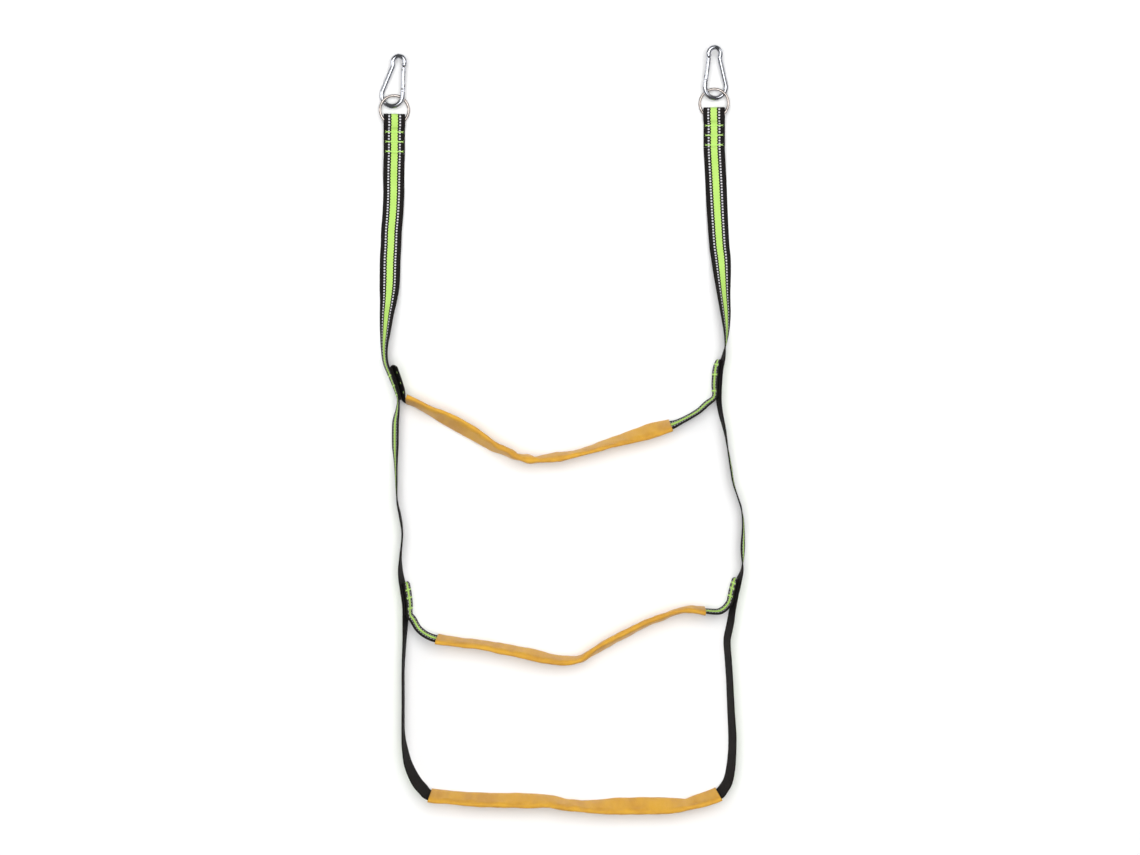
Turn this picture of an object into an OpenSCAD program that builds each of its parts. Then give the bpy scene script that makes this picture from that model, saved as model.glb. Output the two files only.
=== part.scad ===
// Webbing rung ladder with two snap hooks, lying flat on a floor.
// +Y points to the hooks, +X to the right, and the floor is Z = 0.

/* [Ladder] */
// Distance between the two side straps at the ring loops
ladder_w = 370; // [330:1:450]
// Distance from the bottom rung to the ring centres
ladder_l = 796; // [660:1:960]

/* [Webbing] */
// Width of the webbing
webbing_w = 24.5; // [20:0.5:25.5]
// Thickness of the webbing
webbing_t = 1.5; // [1.2:0.1:1.7]
// Gap between layers of webbing that lie on each other
layer_gap = 0.15; // [0.1:0.05:0.3]
// Gap between a side strap and the end that is tucked behind it
tuck_gap = 0.5; // [0.4:0.05:0.8]
// Gap left where a strap is cut for a fold line
fold_gap = 0.3; // [0.2:0.1:1]

/* [Sleeves] */
// Flat width of a rung sleeve
sleeve_w = 28; // [27.6:0.1:34]
// Thickness of a flattened sleeve
sleeve_t = 4.6; // [4.4:0.1:6]
// Wall of a sleeve
sleeve_wall = 0.7; // [0.5:0.05:0.8]

/* [Stitching] */
// Length of a bar tack across the webbing
tack_l = 19.5; // [12:0.5:20]
// Width of a bar tack along the webbing
tack_w = 1.4; // [0.8:0.1:2.4]
// Height of the thread above the webbing
tack_h = 0.3; // [0.1:0.05:0.5]
// Spacing of the bar tacks
tack_pitch = 11.2; // [8:0.1:13]

/* [Rings] */
// Wire diameter of a ring
ring_wire_d = 3; // [2.4:0.1:3.2]
// Radius of the ring's centre line
ring_r = 16.5; // [16:0.1:18]

/* [Snap hooks] */
// Wire diameter of a hook
hook_wire_d = 5.5; // [4.6:0.1:5.7]
// Radius of the wide bend that holds the ring
bend_r = 12.65; // [12:0.05:14]
// Radius of the narrow bend at the nose
crown_r = 7.2; // [6.8:0.1:8]
// Height of the crown's centre above the wide bend's centre
crown_h = 37.4; // [36:0.1:44]
// Lean of the spine towards the gate
spine_lean = 22; // [20:0.5:23]
// Diameter of the gate
gate_d = 5; // [4.6:0.1:5.2]
// Diameter of the gate's rivet and latch pin
pin_d = 1.8; // [1.4:0.1:2]
// Clearance round a moving pin
pin_clear = 0.1; // [0.05:0.05:0.2]
// Thickness of the flattened tangs
tang_t = 1.8; // [1.5:0.1:2]

/* [Hidden] */
$fn = 48;

webbing_colour = [0.16, 0.15, 0.15];
thread_colour = [0.74, 0.93, 0.45];
sleeve_colour = [0.88, 0.66, 0.25];
chrome_colour = [0.82, 0.83, 0.85];
nickel_colour = [0.72, 0.68, 0.65];

// The straps' routes are drawn for these two sizes and stretched to the chosen ones.
drawn_w = 370;
drawn_l = 796;
spread = ladder_w / drawn_w;
// A ring loop keeps its length, from the ring's centre down to the end of the side strap.
loop_l = 50;
stretch = (ladder_l - loop_l) / (drawn_l - loop_l);
// Steps between two points of a route
route_steps = 3;
// A strap inside a sleeve lies this much higher than on the floor.
sleeve_lift = (sleeve_w - webbing_w) / 2 + 0.5;

// Side strap, from the left loop down, across the bottom and up to the right loop:
// [x, y, roll, lift]. Roll 0 shows the front, -90 stands on edge, -180 shows the back.
left_route = [[-193.1, 316, 10, 1.85], [-193.5, 306, 10, 1.3], [-193.8, 296, 8, 0.5], [-194, 284, 2, 0],
    [-194, 268, -6, 0], [-195, 246, -9, 0], [-196.5, 228, -10, 0], [-197, 212, -11, 0],
    [-198, 194, -10, 0], [-198.5, 166, -16, 0], [-199.5, 148, -33, 0], [-201.5, 130, -47, 0],
    [-203, 111, -58, 0], [-204, 93, -69, 0], [-202.5, 76, -74, 1.2], [-197, 61, -77, 1.6],
    [-191.5, 46, -80, 1.4], [-188, 33, -83, 1], [-189, 20, -77, 0.3], [-191, 9, -71, 0],
    [-191.5, -4, -70, 0], [-191.5, -20, -71, 0], [-191, -36, -78, 0], [-190.5, -54, -82, 0],
    [-189.5, -82, -87, 0], [-186, -100, -90, 0], [-183.5, -120, -88, 0], [-185.5, -146, -90, 0],
    [-185.5, -165, -98, 0], [-182.5, -183, -103, 0], [-180, -201, -102, 0], [-180, -220, -100, 0],
    [-181, -243, -95, 0], [-182.5, -275, -92, 0], [-182.5, -312, -92, 0], [-182.5, -348, -93, 0],
    [-180.5, -367, -100, 0], [-176.5, -385, -107, 0], [-168.5, -402, -112, 0],
    [-160, -412.5, -113, sleeve_lift]];
bottom_route = [[-152, -419.5, -110, sleeve_lift], [-134, -421.5, -109, sleeve_lift],
    [-106, -424, -109, sleeve_lift], [-70, -425, -110, sleeve_lift], [-42, -425.5, -112, sleeve_lift],
    [-22, -426, -107, sleeve_lift], [-5, -428, -103, sleeve_lift], [4, -430, -101, sleeve_lift],
    [22, -432, -103, sleeve_lift], [42, -432.5, -110, sleeve_lift], [60, -432, -116, sleeve_lift],
    [88, -431.5, -118, sleeve_lift], [114, -431.5, -117, sleeve_lift], [132, -431, -110, sleeve_lift],
    [142, -430, -102, sleeve_lift], [152, -427.5, -107, sleeve_lift], [165, -423.5, -110, sleeve_lift]];
right_route = [[179, -418, -112, sleeve_lift], [185, -411, -111, sleeve_lift],
    [190, -402, -110, 0], [193, -387, -109, 0], [194.5, -367, -107, 0], [194.5, -348, -107, 0],
    [193, -321, -105, 0], [191.5, -289, -104, 0], [190, -266, -104, 0], [188.5, -243, -104, 0],
    [191, -229, -104, 0], [193, -219, -104, 0], [194.5, -209, -102, 0], [198, -190, -102, 0],
    [202, -174, -100, 0], [206, -160, -90, 0], [206.5, -137, -77, 0], [207, -110, -83, 0],
    [205, -92, -87, 0], [202, -82, -88, 0], [196, -63, -85, 0], [193, -45, -84, 0],
    [190, -27, -86, 0], [187, -8, -90, 0], [185, 2, -93, 0], [181, 19, -97, 0], [179, 37, -100, 0],
    [180, 65, -103, 0], [184.5, 83, -95, 0], [187.5, 106, -78, 0], [187, 130, -61, 0],
    [184.5, 157, -48, 0], [182, 194, -21, 0], [180, 212, -16, 0], [178, 246, -9, 0],
    [177, 268, -4, 0], [176.3, 284, 2, 0], [175.4, 300, 8, 0.5], [174.7, 312, 10, 1.3],
    [174.1, 323.5, 10, 1.85]];
side_route = concat(left_route, bottom_route, right_route);

// Numbers of the side strap's points where it is cut, and where each rung is sewn on
first_right = len(left_route) + len(bottom_route);
left_upper_fold = 5;
left_lower_fold = 24;
left_rung_end = len(left_route);
right_rung_end = first_right;
right_lower_fold = first_right + 19;
right_upper_fold = first_right + 34;
// [top point, bottom point] of the seams
left_upper_seam = [14.6, 17];
right_upper_seam = [first_right + 27.6, first_right + 26];
left_middle_seam = [28.8, 30.6];
right_middle_seam = [first_right + 14, first_right + 12.6];

// Free part of each rung, left to right: [x, y, roll, lift]
upper_rung_route = [[-170, 30.5, 103, sleeve_lift], [-152, 21, 105, sleeve_lift],
    [-134, 12, 115, sleeve_lift], [-115, 2, 118, sleeve_lift], [-97, -9, 114, sleeve_lift],
    [-79, -20, 105, sleeve_lift], [-60, -29, 97, sleeve_lift], [-50, -33, 90, sleeve_lift],
    [-40, -35, 83, sleeve_lift], [-31, -35.5, 89, sleeve_lift], [-22, -34.5, 82, sleeve_lift],
    [-5, -32.5, 77, sleeve_lift], [13, -29.5, 84, sleeve_lift], [32, -24, 80, sleeve_lift],
    [50, -18, 75, sleeve_lift], [68, -12.5, 70, sleeve_lift], [87, -7, 62, sleeve_lift],
    [105, -1.5, 60, sleeve_lift], [124, 4, 68, sleeve_lift], [136, 9, 76, 1], [154, 19, 78, 0],
    [165, 28.5, 77, 0]];
middle_rung_route = [[-171, -219, 77, 0], [-165, -229, 78, 0], [-156, -236, 78, 1],
    [-144, -240.5, 77, sleeve_lift], [-125, -243.5, 79, sleeve_lift], [-106, -246, 80, sleeve_lift],
    [-88, -248.5, 81, sleeve_lift], [-70, -252, 78, sleeve_lift], [-51, -255.5, 77, sleeve_lift],
    [-33, -259.5, 75, sleeve_lift], [-14, -264, 80, sleeve_lift], [4, -265.5, 82, sleeve_lift],
    [20, -263.5, 88, sleeve_lift], [31, -258, 97, sleeve_lift], [41, -252, 102, sleeve_lift],
    [59, -242, 101, sleeve_lift], [78, -232, 100, sleeve_lift], [96, -223, 99, sleeve_lift],
    [114, -215.5, 97, sleeve_lift], [133, -208.5, 92, sleeve_lift], [147, -206.5, 86, sleeve_lift],
    [163, -208.5, 82, sleeve_lift], [177, -209.5, 80, 1], [184, -207, 79, 0], [189, -202, 79, 0]];
// Points of each rung's own route where its sleeve starts and ends
upper_sleeve_span = [0, 18];
middle_sleeve_span = [3, 21];
bottom_sleeve_span = [left_rung_end, right_rung_end];
// Distance from the side strap to the tucked and to the open layer of a sewn rung end
tucked_layer = webbing_t + tuck_gap;
open_layer = [7, 4.8, 4.8, 4.8];

// Ring centres, a loop's length above the ends of the side strap, and the rings' tilt about Y
left_ring_at = [-193 * spread, left_route[0].y * stretch + loop_l];
right_ring_at = [174 * spread, right_route[len(right_route) - 1].y * stretch + loop_l];
ring_tilt = 10;
// Where each hook lies from its ring's centre, and how it is turned, as drawn for the left side
left_hook_from_ring = [-2.4, 17.1];
left_hook_turn = [3, -15, -2.7];
left_hook_z = 6.2;
right_hook_from_ring = [-1.5, 18.7];
right_hook_turn = [7, -16, 5.8];
right_hook_z = 6.65;

// ---- Points and directions along a route ----

function unit(v) = v / norm(v);
function at(p) = [p.x * spread, p.y * stretch];
// A strap at this roll just touches the floor when its lift is 0.
function rest_height(roll) = webbing_w / 2 * abs(sin(roll)) + webbing_t / 2 * abs(cos(roll));
function point(p) = [at(p).x, at(p).y, p[3] + rest_height(p[2]), p[2]];
function spline(a, b, c, d, t) = 0.5 * (2 * b + (c - a) * t + (2 * a - 5 * b + 4 * c - d) * t * t
    + (3 * b - a - 3 * c + d) * t * t * t);
function smooth(p) = let (last = len(p) - 1) [for (i = [0 : last - 1], k = [0 : route_steps - 1])
    spline(p[max(i - 1, 0)], p[i], p[i + 1], p[min(i + 2, last)], k / route_steps), p[last]];
function place(p) = [p.x, p.y, p.z];
// A frame is [place, along, across, front].
function frame(p, along) = let (side = unit(cross([0, 0, 1], along)), up = cross(along, side),
    roll = p[3]) [place(p), along, side * cos(roll) - up * sin(roll),
    side * sin(roll) + up * cos(roll)];
function frames(p) = [for (i = [0 : len(p) - 1])
    frame(p[i], unit(place(p[min(i + 1, len(p) - 1)]) - place(p[max(i - 1, 0)])))];
// Turns the two ends of the side strap square to Y, to meet the ring loops face to face.
function squared(f, p) = [for (i = [0 : len(f) - 1])
    i == 0 ? frame(p[i], [0, -1, 0]) : i == len(f) - 1 ? frame(p[i], [0, 1, 0]) : f[i]];
function part_of(f, a, b) = [for (i = [a * route_steps : b * route_steps]) f[i]];
// Draws both ends of a run of frames back along the strap.
function trimmed(f, start, end) = [for (i = [0 : len(f) - 1])
    [f[i][0] + f[i][1] * (i == 0 ? start : i == len(f) - 1 ? -end : 0), f[i][1], f[i][2], f[i][3]]];

side_points = smooth([for (p = side_route) point(p)]);
side_frames = squared(frames(side_points), side_points);
function side_at(i) = side_frames[round(i * route_steps)];

// The sewn end of a rung lies on the back of the side strap, "away" from it.
function beside(i, away) = let (f = side_at(i), p = f[0] - f[3] * away,
    roll = 180 + atan2(f[3] * unit(cross([0, 0, 1], f[1])), f[3].z)) [p.x, p.y, p.z, roll];
function sewn_open(seam, away) = [for (k = [0 : 3]) beside(seam[0] + (seam[1] - seam[0]) * k / 3, away)];
// The tucked layer follows each frame of the side strap, from the seam's top to its bottom.
function tucked(seam) = let (top = round(seam[0] * route_steps), low = round(seam[1] * route_steps))
    [for (i = [top : sign(low - top) : low]) let (f = side_frames[i])
        [f[0] - f[3] * tucked_layer, -f[1], -f[2], f[3]]];
// The end turned over above the open layer
turn_points = 7;
function turned(seam, away) = let (top = side_at(seam[0]), r = (away - tucked_layer) / 2,
    middle = top[0] - top[3] * (away + tucked_layer) / 2,
    out = unit(side_at(seam[0])[0] - side_at(seam[1])[0]), open_roll = beside(seam[0], away)[3])
    [for (k = [1 : turn_points]) let (share = k / (turn_points + 1),
        p = middle + top[3] * r * cos(share * 180) + out * r * sin(share * 180))
        [p.x, p.y, p.z, 180 - open_roll + (2 * open_roll - 180) * share]];
function backwards(p) = [for (i = [len(p) - 1 : -1 : 0]) p[i]];

function rung_frames(left_seam, right_seam, away_left, away_right, free) = concat(
    backwards(tucked(left_seam)),
    frames(concat(turned(left_seam, away_left),
        smooth(concat(sewn_open(left_seam, away_left), [for (p = free) point(p)],
            backwards(sewn_open(right_seam, away_right)))),
        backwards(turned(right_seam, away_right)))),
    tucked(right_seam));
open_points = 4;

upper_rung_frames = rung_frames(left_upper_seam, right_upper_seam, open_layer[0], open_layer[1],
    upper_rung_route);
middle_rung_frames = rung_frames(left_middle_seam, right_middle_seam, open_layer[2], open_layer[3],
    middle_rung_route);
function rung_sleeve(f, left_seam, span) =
    let (first = len(tucked(left_seam)) + turn_points + open_points * route_steps)
    [for (i = [first + span[0] * route_steps : first + span[1] * route_steps]) f[i]];

// ---- Sweeps ----

function ring_points(f, section) = [for (g = f, s = section) g[0] + g[2] * s.x + g[3] * s.y];
// Two triangles for each side of each stretch between two rings of points
function wall_faces(rings, n, from, inside) = [for (i = [0 : rings - 2], j = [0 : n - 1], half = [0, 1])
    let (k = (j + 1) % n, a = from + i * n, b = a + n)
    half == 0 ? (inside ? [a + k, b + k, b + j] : [a + j, b + j, b + k])
        : (inside ? [a + k, b + j, a + j] : [a + j, b + k, a + k])];
function end_faces(n, low, inner, near) = [for (j = [0 : n - 1], half = [0, 1])
    let (k = (j + 1) % n)
    half == 0 ? (near ? [low + j, low + k, inner + k] : [low + k, low + j, inner + j])
        : (near ? [low + j, inner + k, inner + j] : [low + k, inner + j, inner + k])];

module ribbon(f, width, thick) {
    section = [[-width / 2, -thick / 2], [width / 2, -thick / 2], [width / 2, thick / 2],
        [-width / 2, thick / 2]];
    last = (len(f) - 1) * 4;
    polyhedron(ring_points(f, section),
        concat([[0, 1, 2], [0, 2, 3]], wall_faces(len(f), 4, 0, false),
        [[last + 3, last + 2, last + 1], [last + 3, last + 1, last]]));
}

function oval(width, thick) = [for (a = [15 : 30 : 345])
    [width / 2 * sign(cos(a)) * pow(abs(cos(a)), 0.5), thick / 2 * sign(sin(a)) * pow(abs(sin(a)), 0.7)]];

module sleeve(f) {
    n = 12;
    rings = len(f);
    inner = rings * n;
    last = (rings - 1) * n;
    polyhedron(concat(ring_points(f, oval(sleeve_w, sleeve_t)),
        ring_points(f, oval(sleeve_w - 2 * sleeve_wall, sleeve_t - 2 * sleeve_wall))),
        concat(wall_faces(rings, n, 0, false), wall_faces(rings, n, inner, true),
        end_faces(n, 0, inner, true), end_faces(n, last, inner + last, false)));
}

// ---- Straps ----

module strap(a, b, start, end) {
    color(webbing_colour) ribbon(trimmed(part_of(side_frames, a, b), start, end), webbing_w, webbing_t);
}

module rung_strap(f) {
    color(webbing_colour) ribbon(f, webbing_w, webbing_t);
}

// Three bar tacks through the side strap and the layers sewn to its back
module seam_tacks(seam, away) {
    low = -away - webbing_t / 2 - tack_h;
    high = webbing_t / 2 + tack_h;
    color(thread_colour)
    for (k = [0 : 2]) {
        f = side_at(seam[0] + (seam[1] - seam[0]) * (0.15 + 0.33 * k));
        multmatrix([[f[1].x, f[2].x, f[3].x, f[0].x], [f[1].y, f[2].y, f[3].y, f[0].y],
            [f[1].z, f[2].z, f[3].z, f[0].z]])
        translate([-tack_w / 2, -tack_l / 2, low]) cube([tack_w, tack_l, high - low]);
    }
}

// ---- Ring loops, in a frame with its origin at the ring's centre and the ring in its XY plane ----

loop_top = -4.4;
loop_bottom = -loop_l;
tail_end = 1 - loop_l;
loop_lane = ring_wire_d / 2 + 0.3 + webbing_t / 2;
lower_layer = -2.4;
upper_layer = lower_layer + webbing_t + layer_gap;
pinch_y = -22.4;
first_tack = -23.2;
loop_centre_y = loop_top - loop_lane - webbing_t / 2;
mouth_y = -ring_r - ring_wire_d / 2 - 0.8;

// Outline of one layer between heights a and b, closed round the fold
function fold_points(r) = [for (a = [-80 : 16 : 80]) [loop_centre_y + r * cos(a), r * sin(a)]];
module loop_outline() {
    r_out = loop_lane + webbing_t / 2;
    r_in = loop_lane - webbing_t / 2;
    h = webbing_t / 2;
    polygon(concat(
        [[tail_end, lower_layer + h], [tail_end, lower_layer - h], [mouth_y, -r_out], [loop_centre_y, -r_out]],
        fold_points(r_out),
        [[loop_centre_y, r_out], [mouth_y, r_out], [pinch_y, upper_layer + h], [loop_bottom, upper_layer + h],
        [loop_bottom, upper_layer - h], [pinch_y - 0.5, upper_layer - h], [mouth_y - 0.3, r_in],
        [loop_centre_y, r_in]],
        backwards(fold_points(r_in)),
        [[loop_centre_y, -r_in], [mouth_y, -r_in], [pinch_y - 0.5, lower_layer + h]]));
}

module at_ring(left) {
    p = left ? left_ring_at : [-right_ring_at.x, right_ring_at.y];
    mirror([left ? 0 : 1, 0, 0])
    translate([p.x, p.y, 3.3 + webbing_w / 2 * tan(ring_tilt)])
    rotate([0, ring_tilt, 0])
    children();
}

module strap_loop(left) {
    color(webbing_colour)
    at_ring(left)
    translate([-webbing_w / 2, 0, 0])
    rotate([90, 0, 90])
    linear_extrude(webbing_w) loop_outline();
}

module loop_tacks(left) {
    low = lower_layer - webbing_t / 2 - tack_h / 2;
    high = upper_layer + webbing_t / 2 + tack_h;
    color(thread_colour)
    at_ring(left)
    for (k = [0 : 2])
    translate([-tack_l / 2, first_tack - k * tack_pitch - tack_w / 2, low])
    cube([tack_l, tack_w, high - low]);
}

module ring(left) {
    color(nickel_colour) at_ring(left) rotate_extrude() translate([ring_r, 0]) circle(d = ring_wire_d);
}

// ---- Snap hooks, in a frame with its origin at the wide bend's centre and the gate along Y ----

spine_up = [sin(spine_lean), cos(spine_lean)];
spine_right = [cos(spine_lean), -sin(spine_lean)];
spine_foot = [-bend_r * cos(spine_lean), bend_r * sin(spine_lean)];
crown_at = [bend_r - 6.05, crown_h];
neck_r = 5;
crown_up = (crown_at - spine_foot) * spine_up;
crown_off = (crown_at - spine_foot) * spine_right;
spine_l = crown_up - sqrt(pow(crown_r + neck_r, 2) - pow(crown_off + neck_r, 2));
neck_at = spine_foot + spine_up * spine_l - spine_right * neck_r;
neck_angle = atan2(neck_at.y - crown_at.y, neck_at.x - crown_at.x);
// A stretch of wire is a hair thinner than the bend that it joins, and its end lies inside that bend.
wire_seat = 0.2;
neck_seat = wire_seat / neck_r * 180 / PI;
neck_d = hook_wire_d - 0.06;
straight_d = hook_wire_d - 0.12;
nose_angle = -22;
nose_d = gate_d + 1;
nose_at = crown_at + crown_r * [cos(nose_angle), sin(nose_angle)];
pivot_y = 7;
wire_end_y = 3.8;
gate_top = nose_at.y - nose_d / 2 - 0.3;
slot_w = tang_t + 0.5;
pivot_slot_l = 5;
bore_d = 2.8;
bore_l = 11;
latch_drop = 2.6;
latch_slot_l = 5.4;
rivet_head = 0.35;

module wire_arc(centre, r, from, sweep, d) {
    translate([centre.x, centre.y, 0]) rotate(from)
    rotate_extrude(angle = sweep) translate([r, 0]) circle(d = d);
}

module wire_line(a, b, d) {
    translate([a.x, a.y, 0]) rotate([-90, 0, atan2(b.y - a.y, b.x - a.x) - 90])
    cylinder(d = d, h = norm(b - a));
}

module across_plane(p, d, l) {
    translate([p.x, p.y, -l / 2]) cylinder(d = d, h = l);
}

module hook_shape() {
    difference() {
        union() {
            wire_line([bend_r, -wire_seat], [bend_r, wire_end_y], straight_d);
            wire_arc([0, 0], bend_r, 180 - spine_lean, 180 + spine_lean, hook_wire_d);
            wire_line(spine_foot - spine_up * wire_seat, spine_foot + spine_up * (spine_l + wire_seat),
                straight_d);
            wire_arc(neck_at, neck_r, -spine_lean, neck_angle + 180 + spine_lean + neck_seat, neck_d);
            wire_arc(crown_at, crown_r, nose_angle, neck_angle + 360 - nose_angle, hook_wire_d);
            translate([nose_at.x, nose_at.y, 0]) sphere(d = nose_d);
            // Tang under the gate's rivet
            translate([bend_r - 1.9, wire_end_y - 1, -tang_t / 2])
            cube([3.8, pivot_y + 2.3 - wire_end_y + 1, tang_t]);
            // Tongue that the latch pin catches behind
            translate([bend_r - 1.6, gate_top - 4.2, -tang_t / 2])
            cube([3.6, nose_at.y - gate_top + 4.2, tang_t]);
        }
        across_plane([bend_r, pivot_y], pin_d, hook_wire_d);
        // Notch for the latch pin, open towards the spine
        translate([bend_r - 4, gate_top - latch_drop - pin_d / 2 - 0.35, -hook_wire_d])
        cube([4 + pin_d / 2 + 0.3, pin_d + 0.6, 2 * hook_wire_d]);
    }
}

module gate_shape() {
    difference() {
        intersection() {
            translate([bend_r, pivot_y - gate_d / 2, 0]) rotate([-90, 0, 0])
            cylinder(d = gate_d, h = gate_top - pivot_y + gate_d / 2);
            union() {
                across_plane([bend_r, pivot_y], gate_d, gate_d);
                translate([bend_r - gate_d / 2, pivot_y, -gate_d / 2])
                cube([gate_d, gate_top - pivot_y, gate_d]);
            }
        }
        // Slot over the body's tang
        translate([bend_r - gate_d, pivot_y - gate_d, -slot_w / 2])
        cube([2 * gate_d, gate_d + pivot_slot_l, slot_w]);
        // Slot over the tongue
        translate([bend_r - gate_d, gate_top - latch_slot_l, -slot_w / 2])
        cube([2 * gate_d, latch_slot_l + 1, slot_w]);
        across_plane([bend_r, pivot_y], pin_d + 2 * pin_clear, 2 * gate_d);
        across_plane([bend_r, gate_top - latch_drop], pin_d, 2 * gate_d);
        // Bore for the spring and plunger
        translate([bend_r, pivot_y + pivot_slot_l - 0.5, 0]) rotate([-90, 0, 0])
        cylinder(d = bore_d, h = bore_l);
    }
}

module at_hook(left) {
    ring_at = left ? left_ring_at : [-right_ring_at.x, right_ring_at.y];
    p = ring_at + (left ? left_hook_from_ring : right_hook_from_ring);
    mirror([left ? 0 : 1, 0, 0])
    translate([p.x, p.y, left ? left_hook_z : right_hook_z])
    rotate(left ? left_hook_turn : right_hook_turn)
    children();
}

module hook_body(left) {
    color(chrome_colour) at_hook(left) hook_shape();
}

module gate(left) {
    color(chrome_colour) at_hook(left) gate_shape();
}

module gate_rivet(left) {
    color(chrome_colour) at_hook(left) {
        across_plane([bend_r, pivot_y], pin_d, gate_d + 0.2);
        for (s = [0, 1]) mirror([0, 0, s]) translate([bend_r, pivot_y, gate_d / 2 + 0.1])
            cylinder(d1 = pin_d + 1, d2 = pin_d, h = rivet_head);
    }
}

module latch_pin(left) {
    color(chrome_colour) at_hook(left) across_plane([bend_r, gate_top - latch_drop], pin_d, gate_d + 0.2);
}

plunger_tip_y = pivot_y + 2.45;
plunger_head_y = pivot_y + pivot_slot_l + 1.2;
plunger_head_l = 1.6;
spring_d = bore_d - 0.3;
spring_wire = 0.45;

module gate_plunger(left) {
    color(chrome_colour) at_hook(left) translate([bend_r, plunger_tip_y, 0]) rotate([-90, 0, 0]) {
        cylinder(d = tang_t - 0.1, h = plunger_head_y - plunger_tip_y + 0.2);
        translate([0, 0, plunger_head_y - plunger_tip_y]) cylinder(d = bore_d - 0.2, h = plunger_head_l);
    }
}

// The coil spring as the sleeve of space that its turns fill
module gate_spring(left) {
    low = plunger_head_y + plunger_head_l + 0.05;
    high = pivot_y + pivot_slot_l - 0.5 + bore_l - 0.05;
    color(chrome_colour) at_hook(left) translate([bend_r, low, 0]) rotate([-90, 0, 0])
    difference() {
        cylinder(d = spring_d, h = high - low);
        translate([0, 0, -1]) cylinder(d = spring_d - 2 * spring_wire, h = high - low + 2);
    }
}

// ---- Nodes ----

half_fold = fold_gap / 2;
last_side = len(side_route) - 1;

module left_hook_body() hook_body(true);
module left_gate() gate(true);
module left_gate_rivet() gate_rivet(true);
module left_latch_pin() latch_pin(true);
module left_gate_plunger() gate_plunger(true);
module left_gate_spring() gate_spring(true);
module left_ring() ring(true);
module left_strap_loop() strap_loop(true);
module left_upper_strap() strap(0, left_upper_fold, 0, half_fold);
module left_middle_strap() strap(left_upper_fold, left_lower_fold, half_fold, half_fold);
module left_lower_strap() strap(left_lower_fold, left_rung_end, half_fold, 0);
module left_loop_stitching() loop_tacks(true);
module left_upper_rung_stitching() seam_tacks(left_upper_seam, open_layer[0]);
module left_middle_rung_stitching() seam_tacks(left_middle_seam, open_layer[2]);
module right_hook_body() hook_body(false);
module right_gate() gate(false);
module right_gate_rivet() gate_rivet(false);
module right_latch_pin() latch_pin(false);
module right_gate_plunger() gate_plunger(false);
module right_gate_spring() gate_spring(false);
module right_ring() ring(false);
module right_strap_loop() strap_loop(false);
module right_upper_strap() strap(right_upper_fold, last_side, half_fold, 0);
module right_middle_strap() strap(right_lower_fold, right_upper_fold, half_fold, half_fold);
module right_lower_strap() strap(right_rung_end, right_lower_fold, 0, half_fold);
module right_loop_stitching() loop_tacks(false);
module right_upper_rung_stitching() seam_tacks(right_upper_seam, open_layer[1]);
module right_middle_rung_stitching() seam_tacks(right_middle_seam, open_layer[3]);
module bottom_rung_strap() strap(left_rung_end, right_rung_end, 0, 0);
module upper_rung_strap() rung_strap(upper_rung_frames);
module middle_rung_strap() rung_strap(middle_rung_frames);
module upper_sleeve() color(sleeve_colour)
    sleeve(rung_sleeve(upper_rung_frames, left_upper_seam, upper_sleeve_span));
module middle_sleeve() color(sleeve_colour)
    sleeve(rung_sleeve(middle_rung_frames, left_middle_seam, middle_sleeve_span));
module bottom_sleeve() color(sleeve_colour)
    sleeve(part_of(side_frames, bottom_sleeve_span[0], bottom_sleeve_span[1]));

left_hook_body();
left_gate();
left_gate_rivet();
left_latch_pin();
left_gate_plunger();
left_gate_spring();
left_ring();
left_strap_loop();
left_upper_strap();
left_middle_strap();
left_lower_strap();
left_loop_stitching();
left_upper_rung_stitching();
left_middle_rung_stitching();
right_hook_body();
right_gate();
right_gate_rivet();
right_latch_pin();
right_gate_plunger();
right_gate_spring();
right_ring();
right_strap_loop();
right_upper_strap();
right_middle_strap();
right_lower_strap();
right_loop_stitching();
right_upper_rung_stitching();
right_middle_rung_stitching();
bottom_rung_strap();
upper_rung_strap();
middle_rung_strap();
upper_sleeve();
middle_sleeve();
bottom_sleeve();
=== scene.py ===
"""The looks of a webbing rung ladder lying flat: patterned straps, three sleeved rungs, two snap hooks."""
from math import atan2, copysign, cos, degrees, exp, pi, radians, sin, tan

import bpy
from mathutils import Matrix, Vector, noise


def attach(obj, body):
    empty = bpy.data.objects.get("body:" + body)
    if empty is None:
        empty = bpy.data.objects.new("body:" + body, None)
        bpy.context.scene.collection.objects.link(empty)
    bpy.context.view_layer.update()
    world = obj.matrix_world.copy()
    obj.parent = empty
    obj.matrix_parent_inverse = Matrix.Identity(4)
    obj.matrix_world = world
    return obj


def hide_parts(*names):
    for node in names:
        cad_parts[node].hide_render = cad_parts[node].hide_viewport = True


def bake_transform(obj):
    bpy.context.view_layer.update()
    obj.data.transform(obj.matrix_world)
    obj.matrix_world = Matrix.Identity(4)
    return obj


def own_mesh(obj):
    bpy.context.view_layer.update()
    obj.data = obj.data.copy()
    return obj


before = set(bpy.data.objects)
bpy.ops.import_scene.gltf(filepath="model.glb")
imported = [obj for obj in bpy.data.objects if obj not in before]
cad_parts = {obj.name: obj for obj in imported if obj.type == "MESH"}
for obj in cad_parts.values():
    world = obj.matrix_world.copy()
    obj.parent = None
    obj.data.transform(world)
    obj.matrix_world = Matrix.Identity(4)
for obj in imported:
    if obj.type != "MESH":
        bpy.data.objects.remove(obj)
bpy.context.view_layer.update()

MM = 0.001
UP = Vector((0, 0, 1))

# ---- Sizes in millimetres, the same as the design's ----

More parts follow.
